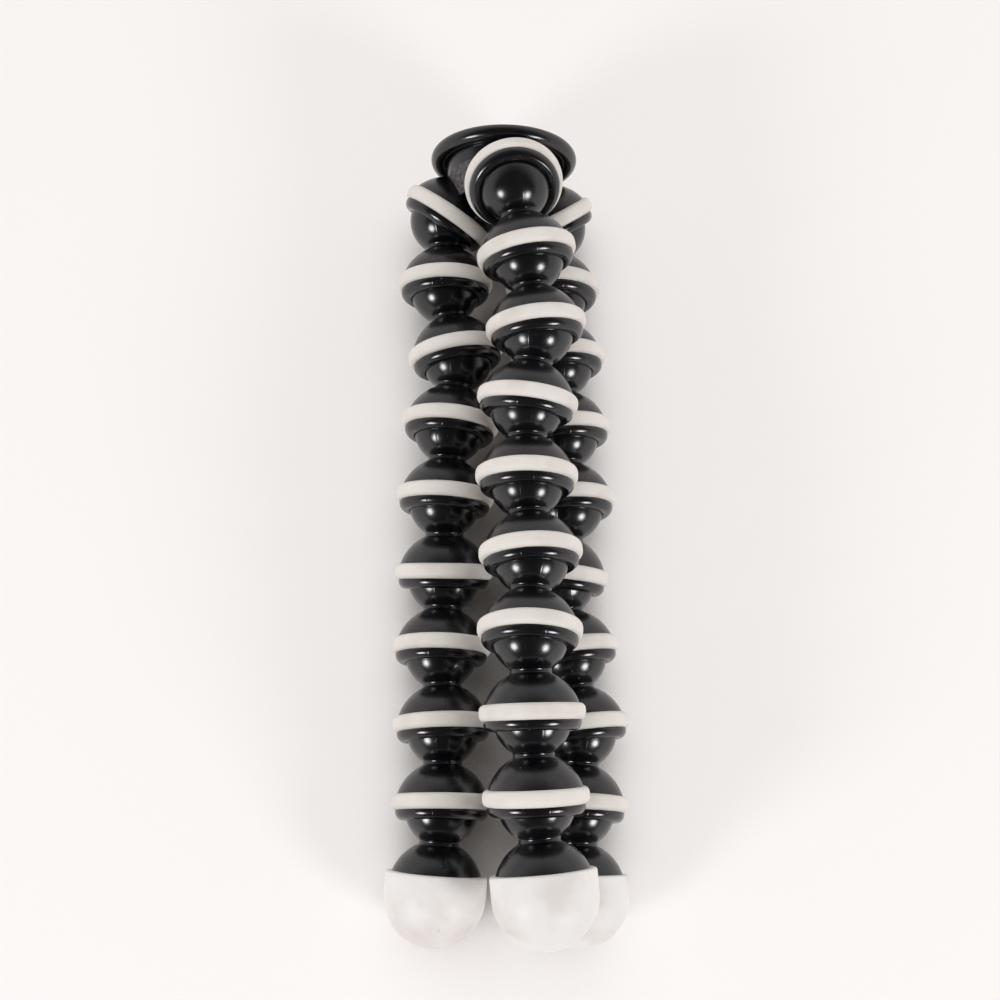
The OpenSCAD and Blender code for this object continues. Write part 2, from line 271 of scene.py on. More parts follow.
def cup(shape, size, middle, domeStart):
    ringTop = size["Ring Top"]
    ringLow = size["Ring Low"]
    groove = size["Groove Radius"]
    lipRound = size["Lip Round"]
    lipMiddle = size["Lip Middle"]
    reach = size["Mouth Reach"]
    mouthRound = size["Mouth Round"]
    edgeRound = size["Edge Round"]
    domeEnd = -(ringTop / size["Cup Radius"]).arcsin()
    lipR = size["Lip Radius"] - lipRound
    lipStart = ((ringLow - lipMiddle) / lipRound).arcsin()
    mouthW = reach - mouthRound
    mouthR = lipR + ((lipRound - mouthRound) ** 2 - (mouthW - lipMiddle) ** 2) ** 0.5
    lipEnd = (mouthW - lipMiddle).angleOver(mouthR - lipR)
    edgeW = reach - edgeRound
    edgeR = ((size["Cavity Radius"] + edgeRound) ** 2 - edgeW ** 2) ** 0.5
    cavityStart = edgeW.angleOver(edgeR)
    shape.arc((0.0, middle), size["Cup Radius"], domeStart, domeEnd, 24,
              ridge=size["Seam Height"], satin=finishes["dome"])
    shape.line((size["Cup Radius"] * domeEnd.cos(), middle - ringTop), (groove, middle - ringTop))
    shape.line((groove, middle - ringTop), (groove, middle + ringLow))
    shape.line((groove, middle + ringLow), (lipR + lipRound * lipStart.cos(), middle + ringLow))
    shape.arc((lipR, middle + lipMiddle), lipRound, lipStart, lipEnd, 18, ridge=size["Seam Height"])
    shape.arc((mouthR, middle + mouthW), mouthRound, lipEnd, quarterTurn, 6, satin=finishes["edge"])
    shape.line((mouthR, middle + reach), (edgeR, middle + reach), satin=finishes["edge"])
    shape.arc((edgeR, middle + edgeW), edgeRound, quarterTurn, cavityStart + halfTurn, 6,
              satin=finishes["edge"])
    shape.arc((0.0, middle), size["Cavity Radius"], cavityStart, -quarterTurn, 16)


def makeLinkTree():
    tree, root, size = newTree("ballLink", {**ballSizes, **cupSizes, **placing})
    shape = Outline(root, size)
    pitch, domeStart = ballAndWaist(shape, size)
    cup(shape, size, pitch, domeStart)
    closeTree(root, shape.solid(), size)
    return tree


# Grip rings

ringSizes = {
    "Inner Radius": cupSizes["Groove Radius"] + gap["seat"], "Outer Radius": 15.0,
    "Half Width": (cupSizes["Ring Top"] + cupSizes["Ring Low"]) / 2 - gap["seat"],
    "Back": (cupSizes["Ring Top"] - cupSizes["Ring Low"]) / 2, "Crown": 7.0, "Corner": 1.6,
    "Unevenness": 0.09, "Wave Scale": 0.16, "Seed": 0.0, "Segments": 128}


def ringBand(root, size):
    shape = Outline(root, size)
    middle = -size["Back"]
    half = size["Half Width"]
    corner = size["Corner"]
    inner = size["Inner Radius"]
    crownR = size["Outer Radius"] - size["Crown"]
    cornerW = half - corner
    cornerR = crownR + ((size["Crown"] - corner) ** 2 - cornerW ** 2) ** 0.5
    crownEnd = cornerW.angleOver(cornerR - crownR)
    shape.arc((cornerR, middle - cornerW), corner, -quarterTurn, -crownEnd, 8)
    shape.arc((crownR, middle), size["Crown"], -crownEnd, crownEnd, 10)
    shape.arc((cornerR, middle + cornerW), corner, crownEnd, quarterTurn, 8)
    shape.line((cornerR, middle + half), (inner, middle + half))
    shape.line((inner, middle + half), (inner, middle - half), 4)
    shape.line((inner, middle - half), (cornerR, middle - half))
    return unevenness(root, shape.solid(), size)


def makeRingTree():
    tree, root, size = newTree("gripRing", {**ringSizes, **placing})
    closeTree(root, ringBand(root, size), size)
    return tree


# Feet

footSizes = {**ballSizes, "Cap Start": 18.5, "Cap Middle": 25.0, "Plug Radius": 12.4}
capSizes = {
    "Cap Start": footSizes["Cap Start"] + gap["seat"], "Cap Middle": footSizes["Cap Middle"],
    "Cap Radius": 15.0, "Inner Radius": footSizes["Plug Radius"] + gap["seat"],
    "Edge Round": 0.9, "Inner Round": 0.25,
    "Unevenness": 0.16, "Wave Scale": 0.09, "Seed": 0.0, "Segments": 128}


def makeFootTree():
    tree, root, size = newTree("footPlug", {**footSizes, **placing})
    shape = Outline(root, size)
    pitch, domeStart = ballAndWaist(shape, size)
    start = size["Cap Start"]
    plug = size["Plug Radius"]
    middle = size["Cap Middle"]
    domeEnd = ((start - pitch) / size["Cup Radius"]).arcsin()
    shape.arc((0.0, pitch), size["Cup Radius"], domeStart, domeEnd, 24,
              ridge=size["Seam Height"], satin=finishes["dome"])
    shape.line((size["Cup Radius"] * domeEnd.cos(), start), (plug, start))
    shape.line((plug, start), (plug, middle), 4)
    shape.arc((0.0, middle), plug, 0.0, quarterTurn, 14)
    closeTree(root, shape.solid(), size)
    return tree


def makeCapTree():
    tree, root, size = newTree("footCap", {**capSizes, **placing})
    shape = Outline(root, size)
    start = size["Cap Start"]
    middle = size["Cap Middle"]
    outer = size["Cap Radius"]
    inner = size["Inner Radius"]
    edge = size["Edge Round"]
    innerEdge = size["Inner Round"]
    shape.arc((inner + innerEdge, start + innerEdge), innerEdge, -halfTurn, -quarterTurn, 4)
    shape.line((inner + innerEdge, start), (outer - edge, start), 2)
    shape.arc((outer - edge, start + edge), edge, -quarterTurn, 0.0, 8)
    shape.line((outer, start + edge), (outer, middle), 6)
    shape.arc((0.0, middle), outer, 0.0, quarterTurn, 30)
    shape.arc((0.0, middle), inner, quarterTurn, 0.0, 12)
    shape.line((inner, middle), (inner, start + innerEdge), 4)
    closeTree(root, unevenness(root, shape.solid(), size), size)
    return tree


# Hub, plate, pad and screws. Their axis runs from the hub's middle towards the plate

legCount = 3
hubSpread = {"Reach": 20.0, "Splay": math.radians(36), "Roll": math.radians(-8)}
hubSizes = {
    **cupSizes, **hubSpread, "Core Radius": 10.0, "Core Low": 3.5, "Core High": 3.0, "Core Clear": 1.2,
    "Spigot Radius": 5.65, "Spigot Length": 3.55, "Screw Radius": 2.1, "Screw Head Radius": 3.8,
    "Head Sink": 0.2}
ballFacets = {"Segments": 96, "Rings": 48}


def threeTimes(root, size, shape):  # a cup, ring or ball at each leg of the hub
    tilt = root.add("ShaderNodeCombineXYZ", None, {"Y": halfTurn - size["Splay"]})
    aim = root.add("FunctionNodeEulerToRotation", None, {"Euler": tilt})
    shift = root.add("ShaderNodeCombineXYZ", None, {"X": size["Reach"]})
    single = root.add("GeometryNodeTransform", None, {
        "Geometry": shape, "Translation": shift, "Rotation": aim})
    points = root.add("GeometryNodeMeshLine", None, {
        "Count": legCount, "Offset": (0.0, 0.0, 0.0)})
    index = root.add("GeometryNodeInputIndex")
    heading = -(quarterTurn + size["Roll"] + index * (fullTurn / legCount))
    spin = root.add("ShaderNodeCombineXYZ", None, {"Z": heading})
    legTurn = root.add("FunctionNodeEulerToRotation", None, {"Euler": spin})
    many = root.add("GeometryNodeInstanceOnPoints", None, {
        "Points": points, "Instance": single, "Rotation": legTurn})
    return root.add("GeometryNodeRealizeInstances", None, {"Geometry": many})


def boolean(root, operation, first, others):
    if operation == "UNION":
        values = {"Mesh 2": [first] + others}
    else:
        values = {"Mesh 1": first, "Mesh 2": others}
    return root.add("GeometryNodeMeshBoolean", {"operation": operation, "solver": "EXACT"}, values)


def clearBalls(root, size, radius):
    ball = root.add("GeometryNodeMeshUVSphere", None, {**ballFacets, "Radius": radius})
    return threeTimes(root, size, ball)


def makeHubTree():
    tree, root, size = newTree("hubMoulding", {**hubSizes, **placing})
    cups = Outline(root, size)
    cup(cups, size, 0.0, -quarterTurn)
    core = Outline(root, size)
    low = -size["Core Low"]
    high = size["Core High"]
    screw = size["Screw Radius"]
    head = size["Screw Head Radius"]
    spigot = size["Spigot Radius"]
    headTop = low + size["Head Sink"] + head - screw
    core.line((head, low), (size["Core Radius"], low), 4)
    core.line((size["Core Radius"], low), (size["Core Radius"], high), 4)
    core.line((size["Core Radius"], high), (spigot, high), 4)
    core.line((spigot, high), (spigot, high - size["Spigot Length"]), 2)
    core.line((spigot, high - size["Spigot Length"]), (screw, high - size["Spigot Length"]), 2)
    core.line((screw, high - size["Spigot Length"]), (screw, headTop))
    core.line((screw, headTop), (head, low + size["Head Sink"]))
    core.line((head, low + size["Head Sink"]), (head, low))
    room = clearBalls(root, size, size["Cup Radius"] - size["Core Clear"])
    hollowed = boolean(root, "DIFFERENCE", core.solid(), [room])
    whole = boolean(root, "UNION", hollowed, [threeTimes(root, size, cups.solid())])
    closeTree(root, whole, size)
    return tree


def makeHubRingTree():
    tree, root, size = newTree("hubRings", {**ringSizes, **hubSpread, **placing})
    closeTree(root, threeTimes(root, size, ringBand(root, size)), size)
    return tree


plateSizes = {
    **hubSpread, "Cup Clear": cupSizes["Cup Radius"] + gap["seat"],
    "Spigot Radius": hubSizes["Spigot Radius"] - gap["seat"],
    "Spigot Low": hubSizes["Core High"] - hubSizes["Spigot Length"] + gap["seat"],
    "Neck Low": hubSizes["Core High"], "Neck Low Radius": 14.8,
    "Neck High": 11.7, "Neck High Radius": 17.4,
    "Dish": 16.0, "Rim R": 20.5, "Rim W": 17.5, "Rim Round": 2.5,
    "Plate Top": 19.4, "Top Round": 0.5, "Seat Radius": 20.05, "Seat": 18.6,
    "Screw Radius": 2.9, "Segments": 160}


def makePlateTree():
    tree, root, size = newTree("cameraPlate", {**plateSizes, **placing})
    shape = Outline(root, size)
    rim = (size["Rim R"], size["Rim W"])
    rimRound = size["Rim Round"]
    dish = size["Dish"]
    top = size["Plate Top"]
    neckLow = size["Neck Low"]
    low = size["Spigot Low"]
    screw = size["Screw Radius"]
    spigot = size["Spigot Radius"]
    seatR = size["Seat Radius"]
    seat = size["Seat"]
    inner = ((dish - rim[1]) / rimRound).arcsin()  # where the dish meets the bead
    dishR = rim[0] - rimRound * inner.cos()
    topRound = size["Top Round"]
    topW = top - topRound
    topAngle = ((topW - rim[1]) / (rimRound - topRound)).arcsin()
    topR = rim[0] + (rimRound - topRound) * topAngle.cos()
    shape.line((screw, low), (spigot, low), 2)
    shape.line((spigot, low), (spigot, neckLow), 2)
    shape.line((spigot, neckLow), (size["Neck Low Radius"], neckLow), 3)
    neckTop = (size["Neck High Radius"], size["Neck High"])
    shape.line((size["Neck Low Radius"], neckLow), neckTop, 24, finishes["neck"])
    shape.line(neckTop, (dishR, dish), 8)
    shape.arc(rim, rimRound, -halfTurn - inner, topAngle, 36)
    shape.arc((topR, topW), topRound, topAngle, quarterTurn, 5)
    shape.line((topR, top), (seatR, top), 2)
    shape.line((seatR, top), (seatR, seat))
    shape.line((seatR, seat), (screw, seat), 6)
    shape.line((screw, seat), (screw, low), 6)
    whole = boolean(root, "DIFFERENCE", shape.solid(), [clearBalls(root, size, size["Cup Clear"])])
    closeTree(root, whole, size)
    return tree


padSizes = {
    "Radius": plateSizes["Seat Radius"] - gap["seat"], "Hole Radius": plateSizes["Screw Radius"],
    "Low": plateSizes["Seat"] + gap["seat"], "Top": 20.2, "Rib Pitch": 3.2, "Rib Deep": 0.5,
    "Edge": 0.35, "End Angle": math.radians(88.6), "Columns": 264, "Rows": 24,
    "Hole Sides": 70, "Drill Depth": 60.0}
ribFlank = (-0.8, -0.35)  # where the wave of the ribs rises from the grooves


def makePadTree():
    tree, root, size = newTree("ribbedPad", {**padSizes, **placing})
    grid = root.add("GeometryNodeMeshGrid", None, {
        "Size X": 2.0, "Size Y": 2.0, "Vertices X": size["Columns"] + 1, "Vertices Y": size["Rows"] + 1})
    spot = root.add("ShaderNodeSeparateXYZ", None, {"Vector": root.add("GeometryNodeInputPosition")})
    across = (spot * size["End Angle"]).sin() * size["Radius"]
    chord = (size["Radius"] ** 2 - across ** 2).most(0.0) ** 0.5
    length = spot.other("Y") * chord
    wave = ((across / size["Rib Pitch"]) * fullTurn).cos()
    rib = wave.step(*ribFlank)
    fromEdge = (size["Radius"] - (across ** 2 + length ** 2) ** 0.5) / size["Edge"]
    rounded = 1.0 - (1.0 - fromEdge.least(1.0)) ** 2
    height = size["Top"] - size["Rib Deep"] * (1.0 - rib) - size["Edge"] * (1.0 - rounded)
    upper = root.add("GeometryNodeSetPosition", None, {
        "Geometry": grid,
        "Position": root.add("ShaderNodeCombineXYZ", None, {"X": across, "Y": length, "Z": height})})
    lower = root.add("GeometryNodeSetPosition", None, {
        "Geometry": grid,
        "Position": root.add("ShaderNodeCombineXYZ", None, {"X": across, "Y": length, "Z": size["Low"]})})
    lower = root.add("GeometryNodeFlipFaces", None, {"Mesh": lower})
    faces = root.add("GeometryNodeInputMeshEdgeNeighbors")
    border = root.add("FunctionNodeCompare", {"data_type": "INT", "operation": "EQUAL"}, {2: faces, 3: 1})
    here = root.add("ShaderNodeSeparateXYZ", None, {"Vector": root.add("GeometryNodeInputPosition")})
    under = root.add("ShaderNodeCombineXYZ", None, {"X": here, "Y": here.other("Y"), "Z": size["Low"]})
    down = root.add("ShaderNodeCombineXYZ", None, {"Z": -0.5})  # parts the points; under sets the depth
    wall = root.add("GeometryNodeExtrudeMesh", {"mode": "EDGES"}, {
        "Mesh": upper, "Selection": border, "Offset": down, "Offset Scale": 1.0})
    wall = root.add("GeometryNodeSetPosition", None, {
        "Geometry": wall, "Selection": wall.other("Top"), "Position": under})
    shape = root.add("GeometryNodeJoinGeometry", None, {"Geometry": [wall, lower]})
    shape = root.add("GeometryNodeMergeByDistance", None, {"Geometry": shape, "Distance": weld["pad"]})
    drill = root.add("GeometryNodeMeshCylinder", None, {
        "Vertices": size["Hole Sides"], "Radius": size["Hole Radius"], "Depth": size["Drill Depth"]})
    shape = boolean(root, "DIFFERENCE", shape, [drill])
    closeTree(root, shape, size)
    return tree


studSizes = {
    "Radius": 3.175, "Root": 2.55, "Pitch": 1.27, "Low": padSizes["Top"], "Tip": 25.7, "Chamfer": 0.6,
    "Shank Radius": plateSizes["Screw Radius"] - gap["screw"],
    "Head Radius": 6.35, "Head Low": 14.6, "Head High": 17.6, "Head Sides": 6,
    "Run Out": 1.2, "Fade": 0.3, "Steps": 150, "Segments": 96, "Satin": 0.0}
threadFlank = (0.1, 0.9)  # leaves a flat crest and root


def makeStudTree():
    tree, root, size = newTree("cameraStud", {**studSizes, **placing})
    grid, along, turn = sweepGrid(root, size)
    height = size["Low"] + (size["Tip"] - size["Low"]) * along
    lead = height / size["Pitch"] - turn / fullTurn
    saw = root.maths("PINGPONG", lead, 0.5) * 2
    depth = saw.step(*threadFlank) * (size["Radius"] - size["Root"])
    thread = size["Radius"] - depth
    taper = size["Radius"] - size["Chamfer"] + (size["Tip"] - height)
    runOut = size["Shank Radius"] + (height - size["Low"]) * size["Run Out"]
    cut = thread.least(taper).least(runOut.most(size["Root"]))
    shank = size["Shank Radius"]
    tipR = (size["Radius"] - size["Chamfer"]).least(size["Root"])
    begun = (height - size["Low"]).step(0.0, size["Fade"])
    ended = (size["Tip"] - height).step(0.0, size["Fade"])
    radius = tipR + (shank + (cut - shank) * begun - tipR) * ended  # meets the shank and the flat end
    skin = swept(root, size, grid, radius, height, turn)
    rest = Outline(root, size)
    rest.line((0.0, size["Head Low"]), (shank, size["Head Low"]), 2)
    rest.line((shank, size["Head Low"]), (shank, size["Low"]), 2)
    rest.line((tipR, size["Tip"]), (0.0, size["Tip"]), 3)
    head = root.add("GeometryNodeMeshCylinder", None, {
        "Vertices": size["Head Sides"], "Radius": size["Head Radius"],
        "Depth": size["Head High"] - size["Head Low"]})
    lift = root.add("ShaderNodeCombineXYZ", None, {"Z": (size["Head High"] + size["Head Low"]) / 2})
    head = root.add("GeometryNodeTransform", None, {"Geometry": head, "Translation": lift})
    rest.strips.append(skin)
    closeTree(root, boolean(root, "UNION", rest.solid(), [head]), size)
    return tree


hubScrewSizes = {
    "Radius": hubSizes["Screw Radius"] - gap["screw"], "Root": 1.6, "Pitch": 0.7, "Fade": 0.7,
    "Low": hubSizes["Head Sink"] - hubSizes["Core Low"], "Length": 12.0,
    "Head Radius": hubSizes["Screw Head Radius"] - gap["screw"],
    "Slot Long": 3.6, "Slot Wide": 0.9, "Slot Deep": 1.1,
    "Steps": 180, "Segments": 72, "Satin": 0.0}


def makeHubScrewTree():
    tree, root, size = newTree("countersunkScrew", {**hubScrewSizes, **placing})
    low = size["Low"]
    cone = low + size["Head Radius"] - size["Radius"]
    tip = low + size["Length"]
    grid, along, turn = sweepGrid(root, size)
    height = cone + (tip - cone) * along
    lead = height / size["Pitch"] - turn / fullTurn
    saw = root.maths("PINGPONG", lead, 0.5) * 2
    ends = (height - cone).least(tip - height).step(0.0, size["Fade"])
    radius = size["Radius"] - saw * (size["Radius"] - size["Root"]) * ends
    shape = Outline(root, size)
    shape.line((0.0, low), (size["Head Radius"], low), 4)
    shape.line((size["Head Radius"], low), (size["Radius"], cone), 4)
    shape.strips.append(swept(root, size, grid, radius, height, turn))
    shape.line((size["Radius"], tip), (0.0, tip), 2)
    bars = []
    for angle in (0.0, quarterTurn):
        bar = root.add("GeometryNodeMeshCube", None, {"Size": root.add("ShaderNodeCombineXYZ", None, {
            "X": size["Slot Long"], "Y": size["Slot Wide"], "Z": size["Slot Deep"] * 2})})
        bars.append(root.add("GeometryNodeTransform", None, {
            "Geometry": bar, "Rotation": (0.0, 0.0, angle),
            "Translation": root.add("ShaderNodeCombineXYZ", None, {"Z": low})}))
    closeTree(root, boolean(root, "DIFFERENCE", shape.solid(), bars), size)
    return tree


# Materials, on Object coordinates in metres

def newMaterial(name):
    material = bpy.data.materials.new(name)
    material.use_nodes = True
    material.node_tree.nodes.clear()
    root = Wire(material.node_tree)
    return material, root, root.add("ShaderNodeTexCoord", None, None, "Object")


def finishMaterial(root, settings, surface):
    shader = root.add("ShaderNodeBsdfPrincipled", None, {**settings, **surface})
    root.add("ShaderNodeOutputMaterial", None, {"Surface": shader})


def noise(root, place, scale, detail=2.0, roughness=0.5):
    return root.add("ShaderNodeTexNoise", None, {
        "Vector": place, "Scale": scale, "Detail": detail, "Roughness": roughness})


speckChance = (0.72, 0.74)  # about a quarter of the cells hold a dot


def specks(root, place, scale, size):  # scattered dots, 1 inside a dot
    cells = root.add("ShaderNodeTexVoronoi", None, {"Vector": place, "Scale": scale, "Randomness": 1.0})
    chance = root.add("ShaderNodeSeparateColor", None, {"Color": cells.other("Color")})
    return (1.0 - cells.step(size * 0.5, size)) * chance.step(*speckChance)


plasticLook = {
    "deep": (0.0020, 0.0020, 0.0032, 1), "worn": (0.0052, 0.0050, 0.0054, 1),
    "matt": (0.105, 0.10, 0.097, 1), "scuff": (0.20, 0.195, 0.19, 1), "dust": (0.30, 0.28, 0.26, 1),
    "smearScale": 130.0, "smearSpan": (0.35, 0.75), "smudge": 0.06,
    "hairScale": 1500.0, "hairSpan": (0.3, 0.7), "powderScale": 4200.0, "powderSpan": (0.55, 0.7),
    "wearScale": 150.0, "wearLow": 0.6, "wearHigh": 0.8, "edgeWear": 0.15,
    "scuffShare": 0.15, "edgeScuff": 0.4,
    "dustScale": 420.0, "dustSize": 0.12, "dustSpan": (0.5, 0.6), "dustShare": 0.5,
    "ballRough": 0.21, "domeRough": 0.28, "neckRough": 0.6, "dustRough": 0.3, "scuffRough": 0.15,
    "grainScale": 2600.0, "grain": 0.00001, "ballGrain": 0.12, "domeGrain": 0.5, "neckGrain": 6.0,
    "bump": 1.0}


def makePlastic():
    material, root, place = newMaterial("blackPlastic")
    look = plasticLook
    satin = root.add("ShaderNodeAttribute", {"attribute_name": "satin"}, None, "Fac")
    dome = satin.step(0.2, 0.8)  # 1 on domes and the neck
    neck = satin.step(1.2, 1.8)
    edge = (-satin).step(0.2, 0.8)
    smear = noise(root, place, look["smearScale"], detail=4.0, roughness=0.6)
    hairs = noise(root, place, look["hairScale"])
    colour = smear.step(*look["smearSpan"]).blend(look["deep"], look["worn"])
    colour = (neck * hairs.step(*look["hairSpan"])).blend(colour, look["matt"])
    powder = noise(root, place, look["powderScale"], detail=1.0).step(*look["powderSpan"])
    wear = noise(root, place, look["wearScale"], detail=3.0, roughness=0.6)
    worn = wear.step(look["wearLow"] - edge * look["edgeWear"], look["wearHigh"]) * powder
    colour = (worn * (look["scuffShare"] + edge * look["edgeScuff"])).blend(colour, look["scuff"])
    dust = specks(root, place, look["dustScale"], look["dustSize"]) * hairs.step(*look["dustSpan"])
    colour = (dust * look["dustShare"]).blend(colour, look["dust"])
    rough = (look["ballRough"] + dome * (look["domeRough"] - look["ballRough"])
             + neck * (look["neckRough"] - look["domeRough"])
             + (smear - 0.5) * look["smudge"] + dust * look["dustRough"] + worn * look["scuffRough"])
    height = look["ballGrain"] + dome * look["domeGrain"] + neck * look["neckGrain"]
    grain = noise(root, place, look["grainScale"], detail=3.0) * height
    bump = root.add("ShaderNodeBump", None, {
        "Height": grain, "Distance": look["grain"], "Strength": look["bump"]})
    finishMaterial(root, {"IOR": 1.58}, {"Base Color": colour, "Roughness": rough, "Normal": bump})
    return material


rubberLook = {  # what rings and caps share
    "stainSpan": (0.42, 0.72), "fineShare": 14,
    "spotScale": 110.0, "spotSize": 0.13, "spotSpan": (0.35, 0.6), "spotShare": 0.5,
    "cloudRough": 0.2, "fineRough": 0.12, "grainScale": 3200.0, "bump": 0.7}
ringLook = {
    **rubberLook, "clean": (0.735, 0.690, 0.648, 1), "stain": (0.66, 0.612, 0.57, 1),
    "spot": (0.42, 0.38, 0.36, 1), "stainScale": 85.0, "rough": 0.55, "grain": 0.00003}
capLook = {
    **rubberLook, "clean": (0.76, 0.733, 0.713, 1), "stain": (0.685, 0.632, 0.612, 1),
    "spot": (0.46, 0.39, 0.37, 1), "stainScale": 70.0, "rough": 0.48, "grain": 0.00002}


def makeRubber(name, look, settings):
    material, root, place = newMaterial(name)
    cloud = noise(root, place, look["stainScale"], detail=3.0, roughness=0.55)
    fine = noise(root, place, look["stainScale"] * look["fineShare"], detail=3.0, roughness=0.6)
    colour = cloud.step(*look["stainSpan"]).blend(look["clean"], look["stain"])
    spots = specks(root, place, look["spotScale"], look["spotSize"]) * fine.step(*look["spotSpan"])
    colour = (spots * look["spotShare"]).blend(colour, look["spot"])
    rough = look["rough"] + (cloud - 0.5) * look["cloudRough"] + (fine - 0.5) * look["fineRough"]
    grain = noise(root, place, look["grainScale"])
    bump = root.add("ShaderNodeBump", None, {
        "Height": grain, "Distance": look["grain"], "Strength": look["bump"]})
    finishMaterial(root, settings, {"Base Color": colour, "Roughness": rough, "Normal": bump})
    return material


padLook = {
    "dark": (0.012, 0.012, 0.013, 1), "dusty": (0.035, 0.034, 0.033, 1),
    "dustScale": 160.0, "dustSpan": (0.4, 0.75), "rough": 0.75, "dustRough": 0.2,
    "grainScale": 2400.0, "grain": 0.00005, "bump": 0.8}


def makePadRubber():
    material, root, place = newMaterial("padRubber")
    dusty = noise(root, place, padLook["dustScale"], detail=4.0, roughness=0.6)
    colour = dusty.step(*padLook["dustSpan"]).blend(padLook["dark"], padLook["dusty"])
    rough = padLook["rough"] + (dusty - 0.5) * padLook["dustRough"]
    grain = noise(root, place, padLook["grainScale"], detail=3.0)
    bump = root.add("ShaderNodeBump", None, {
        "Height": grain, "Distance": padLook["grain"], "Strength": padLook["bump"]})
    finishMaterial(root, {"IOR": 1.5}, {"Base Color": colour, "Roughness": rough, "Normal": bump})
    return material


steelLook = {
    "bright": (0.62, 0.61, 0.59, 1), "dull": (0.36, 0.35, 0.335, 1),
    "wearScale": 420.0, "wearSpan": (0.35, 0.7), "rough": 0.28, "wearMiddle": 0.4, "wearRough": 0.3,
    "grainScale": 5200.0, "grain": 0.000008, "bump": 0.6}


def makeSteel():
    material, root, place = newMaterial("screwSteel")
    worn = noise(root, place, steelLook["wearScale"], detail=4.0, roughness=0.6)
    colour = worn.step(*steelLook["wearSpan"]).blend(steelLook["bright"], steelLook["dull"])
    rough = steelLook["rough"] + (worn - steelLook["wearMiddle"]) * steelLook["wearRough"]
    grain = noise(root, place, steelLook["grainScale"])
    bump = root.add("ShaderNodeBump", None, {
        "Height": grain, "Distance": steelLook["grain"], "Strength": steelLook["bump"]})
    finishMaterial(root, {"Metallic": 1.0}, {"Base Color": colour, "Roughness": rough, "Normal": bump})
    return material


blackPlastic = makePlastic()
gripRubber = makeRubber("gripRubber", ringLook, {"IOR": 1.45})
footRubber = makeRubber("footRubber", capLook, {
    "IOR": 1.45, "Subsurface Weight": 0.25, "Subsurface Scale": 0.003,
    "Subsurface Radius": (1.0, 0.8, 0.7)})
padRubber = makePadRubber()
screwSteel = makeSteel()
print("materials:", len(bpy.data.materials))


# Putting pieces on the frame

sharpAngle = math.radians(38)


def bake(name, tree, values):  # a plain mesh from a shape tree
    piece = bpy.data.objects.new(name, bpy.data.meshes.new(name))
    scene.collection.objects.link(piece)
    modifier = piece.modifiers.new("shape", "NODES")
    modifier.node_group = tree
    labels = {item.name: item.identifier for item in tree.interface.items_tree if item.in_out == "INPUT"}
    for label, value in values.items():
        modifier[labels[label]] = value
    graph = bpy.context.evaluated_depsgraph_get()
    mesh = bpy.data.meshes.new_from_object(piece.evaluated_get(graph), depsgraph=graph)
    piece.modifiers.remove(modifier)
    empty = piece.data
    piece.data = mesh
    bpy.data.meshes.remove(empty)
    mesh.name = name
    work = bmesh.new()
    work.from_mesh(mesh)
    bmesh.ops.recalc_face_normals(work, faces=work.faces)
    work.to_mesh(mesh)
    work.free()
    mesh.set_sharp_from_angle(angle=sharpAngle)
    return piece


def settle(piece, body, slot, *nodes):
    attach(piece, body)
    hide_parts(*nodes)


def aimed(place, direction, roll):  # Z along the direction, the mould line on top
    up = Vector((0, 0, 1))
    side = (up - direction * up.dot(direction)).normalized()
    turned = Matrix((side, direction.cross(side), direction)).transposed()
    turned = turned @ Matrix.Rotation(math.radians(roll), 3, "Z")
    return {"Place": tuple(place), "Turn": tuple(turned.to_euler())}


def solidMiddle(node):  # centre of a CAD solid's volume
    mesh = frame["nodes"][node].data
    mesh.calc_loop_triangles()
    volume = 0.0
    middle = Vector()
    for triangle in mesh.loop_triangles:
        a, b, c = (mesh.vertices[i].co for i in triangle.vertices)
        part = a.dot(b.cross(c)) / 6
        volume += part
        middle += (a + b + c) * part / 4
    return middle / volume


legs = {
    "front": {"seamRoll": [-8, 4, 12, -6, 14, -16, 9, -12, 6]},
    "left": {"seamRoll": [16, -12, 8, 22, -9, 15, -4, 10, -14]},
    "right": {"seamRoll": [-10, 14, -5, 11, 18, -13, 6, -8, 9]}}
linkCount = 8
seedSteps = {"leg": 20.0, "cap": 7.0}  # so that no two rubber pieces are alike
joints = {joint["name"]: Vector(joint["pos_m"]) for joint in frame["joints"]}
linkTree = makeLinkTree()
ringTree = makeRingTree()
footTree = makeFootTree()
capTree = makeCapTree()

for legIndex, (leg, look) in enumerate(legs.items()):
    balls = [joints[f"{leg}_ball_{i + 1}"] for i in range(linkCount + 1)]
    for i in range(linkCount):
        number = i + 1
        direction = (balls[i + 1] - balls[i]).normalized()
        spot = aimed(balls[i], direction, look["seamRoll"][i])
        shell = bake(f"{leg}_link_{number}_shell", linkTree, {**spot, "Material": blackPlastic})
        settle(shell, f"{leg}_segment_{number}", "black_plastic", f"{leg}_link_{number}")
        spot = aimed(balls[i + 1], direction, look["seamRoll"][i])
        band = bake(f"{leg}_ring_{number}_band", ringTree, {
            **spot, "Seed": legIndex * seedSteps["leg"] + number, "Material": gripRubber})
        settle(band, f"{leg}_segment_{number}", "grip_rubber", f"{leg}_ring_{number}")
    direction = (solidMiddle(f"{leg}_foot_cap") - balls[linkCount]).normalized()
    spot = aimed(balls[linkCount], direction, look["seamRoll"][linkCount])
    foot = bake(f"{leg}_foot_shell", footTree, {**spot, "Material": blackPlastic})
    settle(foot, f"{leg}_tip", "black_plastic", f"{leg}_foot")
    cap = bake(f"{leg}_foot_boot", capTree, {
        **spot, "Seed": legIndex * seedSteps["cap"], "Material": footRubber})
    settle(cap, f"{leg}_tip", "foot_rubber", f"{leg}_foot_cap")
    print(leg, "leg:", linkCount, "links, foot and cap")

